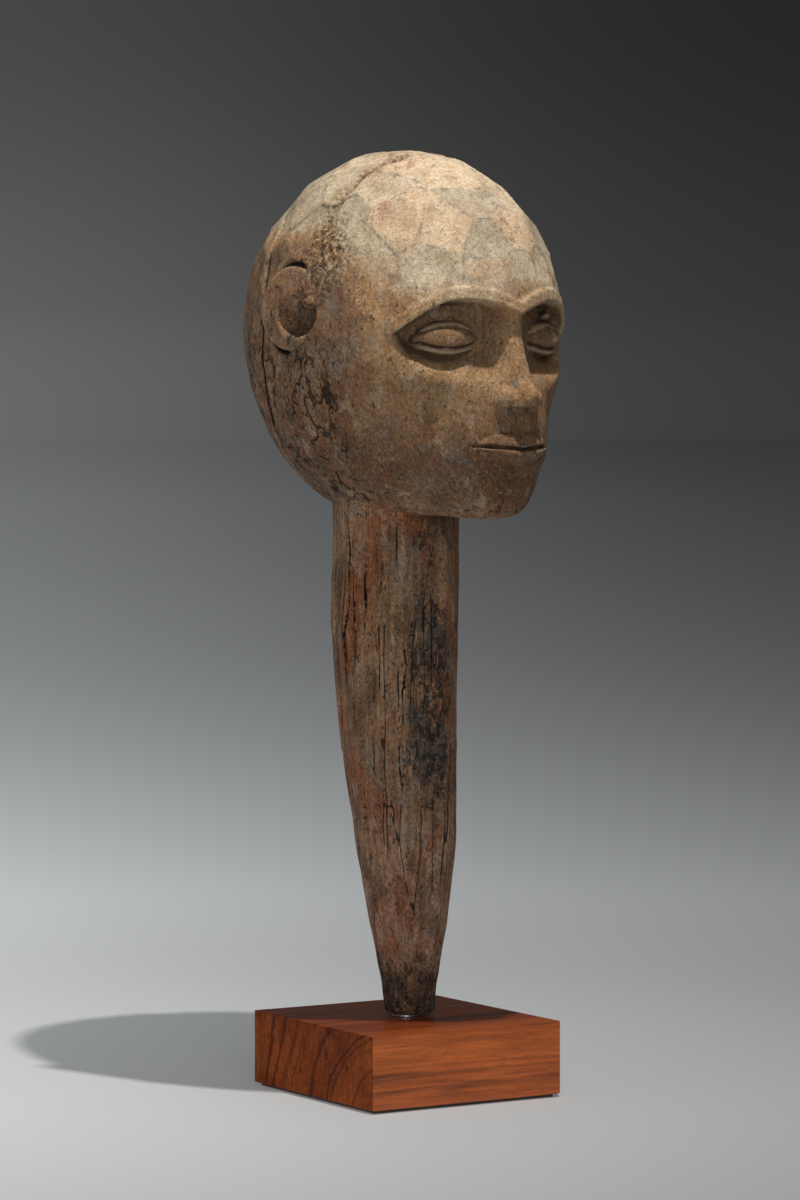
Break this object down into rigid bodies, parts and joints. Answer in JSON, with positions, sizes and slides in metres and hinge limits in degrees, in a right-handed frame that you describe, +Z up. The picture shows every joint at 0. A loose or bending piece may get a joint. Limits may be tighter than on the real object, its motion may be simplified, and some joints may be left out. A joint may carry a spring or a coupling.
{
  "type": "carved ancestor figure",
  "caption": "Carved wooden head on a long tapering stake, standing on a pin in a hardwood display block, on which it turns and lifts off.",
  "frame": {"origin": "middle of the felt's underside, on the axis of the mounting pin", "axes": "+Z up along the pin; +X along the block's long grain; the block's front is -Y and the carved face looks 8 degrees from -Y towards +X"},
  "size_m": [0.1668, 0.2083, 0.515],
  "materials": {
    "old_wood": "dry, weathered carved wood, dusty and stained",
    "hardwood": "oiled satin red-brown hardwood",
    "felt": "pressed felt",
    "steel": "plain turned steel",
    "brass": "drawn tube"
  },
  "bodies": {
    "base": {"base_block": "hardwood", "felt_pad": "felt", "mount_rod": "steel", "clamp_washer": "steel", "spring_washer": "steel", "clamp_nut": "steel"},
    "turning_disc": {"spacer_disc": "steel"},
    "figure": {"carving": "old_wood", "foot_sleeve": "brass"}
  },
  "joints": [
    {"name": "turn", "type": "hinge", "parent": "base", "child": "turning_disc", "pos_m": [0, 0, 0.0431], "axis": [0, 0, 1], "continuous": true},
    {"name": "lift", "type": "slide", "parent": "turning_disc", "child": "figure", "axis": [0, 0, 1], "range_m": [0, 0.08]}
  ]
}
